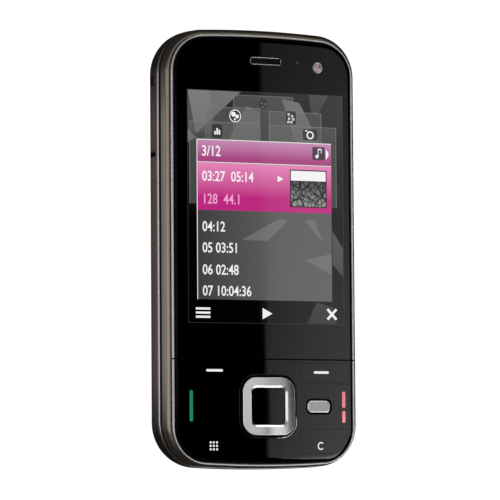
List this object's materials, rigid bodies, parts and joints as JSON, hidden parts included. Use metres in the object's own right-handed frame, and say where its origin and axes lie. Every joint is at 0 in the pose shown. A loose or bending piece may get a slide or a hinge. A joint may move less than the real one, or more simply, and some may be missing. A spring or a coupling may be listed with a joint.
{
  "type": "slider phone",
  "caption": "Slim phone whose screen half slides up over a number keypad and down over music keys, with side keys, sockets and a sliding lens cover.",
  "frame": {"origin": "middle of the flat back face, with the phone lying on its back and closed", "axes": "+X to the right for someone facing the screen, +Y towards the earpiece end, +Z out of the screen"},
  "size_m": [0.0497, 0.103, 0.016],
  "materials": {
    "rear_shell": "satin",
    "cover_shell": "satin",
    "bright_trim": "polished",
    "deck_black": "gloss",
    "side_key": "satin",
    "key_cap": "gloss",
    "battery_wrap": "matte",
    "circuit_board": "solder mask",
    "foil": "matte",
    "steel": "brushed",
    "frame_brown": "satin",
    "rim_metal": "satin",
    "black_glass": "mirror gloss",
    "display_panel": "matte",
    "ring_metal": "satin",
    "pill_metal": "satin",
    "dark_plastic": "matte",
    "lens_glass": "polished",
    "led_white": "diffuser",
    "copper": "bare"
  },
  "bodies": {
    "base": {"rear_housing": "rear_shell", "base_trim": "bright_trim", "keypad_deck": "deck_black", "main_board": "circuit_board", "keypad_domes": "foil", "slide_guide": "steel", "camera_module": "dark_plastic", "camera_lens": "lens_glass", "flash_led": "led_white", "loudspeakers": "dark_plastic", "headphone_socket": "dark_plastic", "usb_socket": "steel", "card_socket": "steel", "microphone": "steel", "vibration_motor": "steel", "antenna": "copper", "housing_screws": "steel", "battery": "battery_wrap"},
    "display_half": {"slider_housing": "frame_brown", "slide_plate": "steel", "upper_rim": "rim_metal", "lower_rim": "rim_metal", "display_window": "black_glass", "function_key_panel": "black_glass", "display_module": "display_panel", "key_board": "circuit_board", "earpiece": "dark_plastic", "front_camera": "dark_plastic"},
    "battery_cover": {"battery_cover": "cover_shell"},
    "lens_cover": {"lens_cover": "cover_shell"},
    "lock_switch": {"lock_switch": "side_key"},
    "volume_key": {"volume_key": "side_key"},
    "capture_key": {"capture_key": "side_key"},
    "power_key": {"power_key": "side_key"},
    "card_door": {"card_door": "rear_shell"},
    "key_1": {"key_1": "key_cap"},
    "key_2": {"key_2": "key_cap"},
    "key_3": {"key_3": "key_cap"},
    "key_4": {"key_4": "key_cap"},
    "key_5": {"key_5": "key_cap"},
    "key_6": {"key_6": "key_cap"},
    "key_7": {"key_7": "key_cap"},
    "key_8": {"key_8": "key_cap"},
    "key_9": {"key_9": "key_cap"},
    "key_star": {"key_star": "key_cap"},
    "key_0": {"key_0": "key_cap"},
    "key_hash": {"key_hash": "key_cap"},
    "media_previous_key": {"media_previous_key": "key_cap"},
    "media_play_key": {"media_play_key": "key_cap"},
    "media_stop_key": {"media_stop_key": "key_cap"},
    "media_next_key": {"media_next_key": "key_cap"},
    "left_select_key": {"left_select_key": "black_glass"},
    "right_select_key": {"right_select_key": "black_glass"},
    "call_key": {"call_key": "black_glass"},
    "end_key": {"end_key": "black_glass"},
    "menu_key": {"menu_key": "black_glass"},
    "clear_key": {"clear_key": "black_glass"},
    "navi_ring": {"navi_ring": "ring_metal"},
    "centre_key": {"centre_key": "key_cap"},
    "multimedia_key": {"multimedia_key": "pill_metal"}
  },
  "joints": [
    {"name": "display_slide", "type": "slide", "parent": "base", "child": "display_half", "axis": [0, 1, 0], "range_m": [-0.016, 0.036]},
    {"name": "battery_cover_slide", "type": "slide", "parent": "base", "child": "battery_cover", "axis": [0, -1, 0], "range_m": [0, 0.045]},
    {"name": "lens_cover_slide", "type": "slide", "parent": "base", "child": "lens_cover", "axis": [0, -1, 0], "range_m": [0, 0.0142]},
    {"name": "card_door_swing", "type": "hinge", "parent": "base", "child": "card_door", "pos_m": [-0.02375, 0.0227, 0.0055], "axis": [0, 0, 1], "range_deg": [0, 90]},
    {"name": "lock_switch_slide", "type": "slide", "parent": "base", "child": "lock_switch", "axis": [0, -1, 0], "range_m": [0, 0.002], "stiffness_N_per_m": 150},
    {"name": "press_capture", "type": "slide", "parent": "base", "child": "capture_key", "axis": [-1, 0, 0], "range_m": [0, 0.00025], "stiffness_N_per_m": 300},
    {"name": "press_power", "type": "slide", "parent": "base", "child": "power_key", "axis": [0, -1, 0], "range_m": [0, 0.0003], "stiffness_N_per_m": 300},
    {"name": "volume_rock", "type": "hinge", "parent": "base", "child": "volume_key", "pos_m": [0.0234, 0.0195, 0.0048], "axis": [0, 0, 1], "range_deg": [-1.8, 1.8], "stiffness_Nm_per_rad": 0.03},
    {"name": "press_key_1", "type": "slide", "parent": "base", "child": "key_1", "axis": [0, 0, -1], "range_m": [0, 0.00025], "stiffness_N_per_m": 300},
    {"name": "press_key_2", "type": "slide", "parent": "base", "child": "key_2", "axis": [0, 0, -1], "range_m": [0, 0.00025], "stiffness_N_per_m": 300},
    {"name": "press_key_3", "type": "slide", "parent": "base", "child": "key_3", "axis": [0, 0, -1], "range_m": [0, 0.00025], "stiffness_N_per_m": 300},
    {"name": "press_key_4", "type": "slide", "parent": "base", "child": "key_4", "axis": [0, 0, -1], "range_m": [0, 0.00025], "stiffness_N_per_m": 300},
    {"name": "press_key_5", "type": "slide", "parent": "base", "child": "key_5", "axis": [0, 0, -1], "range_m": [0, 0.00025], "stiffness_N_per_m": 300},
    {"name": "press_key_6", "type": "slide", "parent": "base", "child": "key_6", "axis": [0, 0, -1], "range_m": [0, 0.00025], "stiffness_N_per_m": 300},
    {"name": "press_key_7", "type": "slide", "parent": "base", "child": "key_7", "axis": [0, 0, -1], "range_m": [0, 0.00025], "stiffness_N_per_m": 300},
    {"name": "press_key_8", "type": "slide", "parent": "base", "child": "key_8", "axis": [0, 0, -1], "range_m": [0, 0.00025], "stiffness_N_per_m": 300},
    {"name": "press_key_9", "type": "slide", "parent": "base", "child": "key_9", "axis": [0, 0, -1], "range_m": [0, 0.00025], "stiffness_N_per_m": 300},
    {"name": "press_key_star", "type": "slide", "parent": "base", "child": "key_star", "axis": [0, 0, -1], "range_m": [0, 0.00025], "stiffness_N_per_m": 300},
    {"name": "press_key_0", "type": "slide", "parent": "base", "child": "key_0", "axis": [0, 0, -1], "range_m": [0, 0.00025], "stiffness_N_per_m": 300},
    {"name": "press_key_hash", "type": "slide", "parent": "base", "child": "key_hash", "axis": [0, 0, -1], "range_m": [0, 0.00025], "stiffness_N_per_m": 300},
    {"name": "press_media_previous", "type": "slide", "parent": "base", "child": "media_previous_key", "axis": [0, 0, -1], "range_m": [0, 0.00025], "stiffness_N_per_m": 300},
    {"name": "press_media_play", "type": "slide", "parent": "base", "child": "media_play_key", "axis": [0, 0, -1], "range_m": [0, 0.00025], "stiffness_N_per_m": 300},
    {"name": "press_media_stop", "type": "slide", "parent": "base", "child": "media_stop_key", "axis": [0, 0, -1], "range_m": [0, 0.00025], "stiffness_N_per_m": 300},
    {"name": "press_media_next", "type": "slide", "parent": "base", "child": "media_next_key", "axis": [0, 0, -1], "range_m": [0, 0.00025], "stiffness_N_per_m": 300},
    {"name": "press_left_select", "type": "slide", "parent": "display_half", "child": "left_select_key", "axis": [0, 0, -1], "range_m": [0, 0.0002], "stiffness_N_per_m": 300},
    {"name": "press_right_select", "type": "slide", "parent": "display_half", "child": "right_select_key", "axis": [0, 0, -1], "range_m": [0, 0.0002], "stiffness_N_per_m": 300},
    {"name": "press_call", "type": "slide", "parent": "display_half", "child": "call_key", "axis": [0, 0, -1], "range_m": [0, 0.0002], "stiffness_N_per_m": 300},
    {"name": "press_end", "type": "slide", "parent": "display_half", "child": "end_key", "axis": [0, 0, -1], "range_m": [0, 0.0002], "stiffness_N_per_m": 300},
    {"name": "press_menu", "type": "slide", "parent": "display_half", "child": "menu_key", "axis": [0, 0, -1], "range_m": [0, 0.0002], "stiffness_N_per_m": 300},
    {"name": "press_clear", "type": "slide", "parent": "display_half", "child": "clear_key", "axis": [0, 0, -1], "range_m": [0, 0.0002], "stiffness_N_per_m": 300},
    {"name": "press_centre", "type": "slide", "parent": "display_half", "child": "centre_key", "axis": [0, 0, -1], "range_m": [0, 0.0002], "stiffness_N_per_m": 300},
    {"name": "press_multimedia", "type": "slide", "parent": "display_half", "child": "multimedia_key", "axis": [0, 0, -1], "range_m": [0, 0.0002], "stiffness_N_per_m": 300},
    {"name": "navi_ring_tilt", "type": "hinge", "parent": "display_half", "child": "navi_ring", "pos_m": [0, -0.03693, 0.0135], "axis": [1, 0, 0], "range_deg": [-1.5, 1.5], "stiffness_Nm_per_rad": 0.03}
  ]
}
